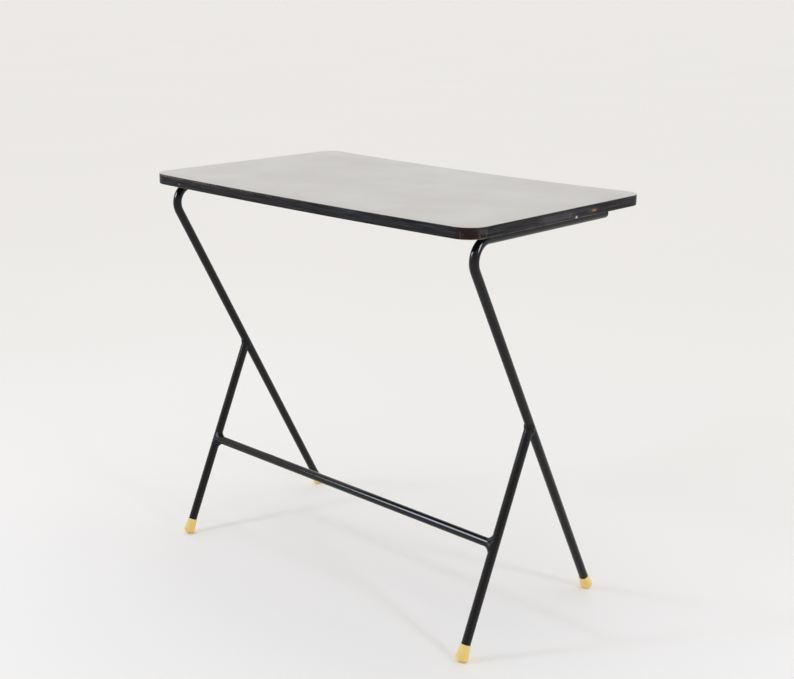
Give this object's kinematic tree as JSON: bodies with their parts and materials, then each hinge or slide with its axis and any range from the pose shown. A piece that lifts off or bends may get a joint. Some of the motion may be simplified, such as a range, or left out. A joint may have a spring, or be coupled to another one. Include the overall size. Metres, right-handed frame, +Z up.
{
  "type": "typewriter table",
  "caption": "Low side table with a pale laminate top, black edge and a welded frame of bent black steel tube, standing on cream push-on feet.",
  "frame": {"origin": "on the floor under the middle of the table top", "axes": "+X along the long side of the top, +Y to the back (the side where the rails end), +Z up"},
  "size_m": [0.7, 0.43, 0.67],
  "materials": {
    "laminate": "satin, pale warm grey laminate",
    "core": "plywood, stained dark brown underneath",
    "edge_strip": "black stained wood, worn at the corners",
    "frame": "glossy black enamel on steel tube",
    "feet": "yellowed cream soft plastic",
    "plugs": "black plastic",
    "screws": "plain steel"
  },
  "bodies": {
    "root": {"top_laminate": "laminate", "top_board": "core", "edge_strip": "edge_strip", "stretcher": "frame", "left_leg_tube": "frame", "left_front_leg": "frame", "left_branch_weld": "frame", "left_stretcher_weld": "frame", "left_rear_foot": "feet", "left_front_foot": "feet", "left_rail_plug": "plugs", "left_screw_1": "screws", "left_screw_2": "screws", "left_screw_3": "screws", "right_leg_tube": "frame", "right_front_leg": "frame", "right_branch_weld": "frame", "right_stretcher_weld": "frame", "right_rear_foot": "feet", "right_front_foot": "feet", "right_rail_plug": "plugs", "right_screw_1": "screws", "right_screw_2": "screws", "right_screw_3": "screws"}
  },
  "joints": []
}
